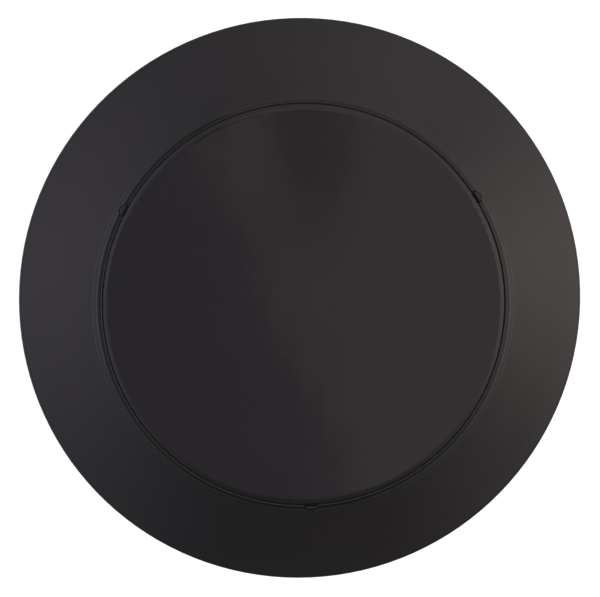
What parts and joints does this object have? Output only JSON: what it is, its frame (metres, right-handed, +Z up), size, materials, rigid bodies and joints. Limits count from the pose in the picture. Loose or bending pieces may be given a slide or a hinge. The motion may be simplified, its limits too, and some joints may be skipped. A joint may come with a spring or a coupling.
{
  "type": "roof vent cover",
  "caption": "Low round roof vent cover: a domed brim on legs over a screened pipe collar, with a flat centre lid that lifts off.",
  "frame": {"origin": "centre of the underside of the roof gasket, where the vent pipe's axis meets the roof", "axes": "+Z up from the roof, along the vent pipe; -Y points at one of the three legs"},
  "size_m": [0.235, 0.235, 0.0468],
  "materials": {
    "cover_plastic": "black moulded ABS, semi-gloss",
    "inner_plastic": "black moulded ABS, satin",
    "base_plastic": "black moulded ABS, fine moulded texture",
    "leg_plastic": "black moulded nylon, satin",
    "seal_rubber": "black EPDM rubber",
    "gasket_rubber": "grey EPDM rubber, smooth",
    "stainless_screws": "plain stainless steel",
    "spring_steel": "stainless spring strip",
    "insert_brass": "knurled brass",
    "wire_mesh": "woven stainless wire cloth"
  },
  "bodies": {
    "cover_base": {"brim": "cover_plastic", "pipe_seal_ring": "inner_plastic", "screen_cage": "inner_plastic", "base_flange": "base_plastic", "lid_seal": "seal_rubber", "pipe_seal": "seal_rubber", "leg_pads": "seal_rubber", "roof_gasket": "gasket_rubber", "leg_screws": "stainless_screws", "seal_ring_screws": "stainless_screws", "leg_washers": "stainless_screws", "leg_inserts": "insert_brass", "screen_mesh": "wire_mesh", "support_leg_1": "leg_plastic", "support_leg_2": "leg_plastic", "support_leg_3": "leg_plastic"},
    "lid": {"centre_lid": "cover_plastic", "siphon_cone": "inner_plastic", "cone_screws": "stainless_screws", "clip_screws": "stainless_screws", "lid_clip_1": "spring_steel", "lid_clip_2": "spring_steel", "lid_clip_3": "spring_steel"}
  },
  "joints": [
    {"name": "lid_lift", "type": "slide", "parent": "cover_base", "child": "lid", "axis": [0, 0, 1], "range_m": [0, 0.05]}
  ]
}
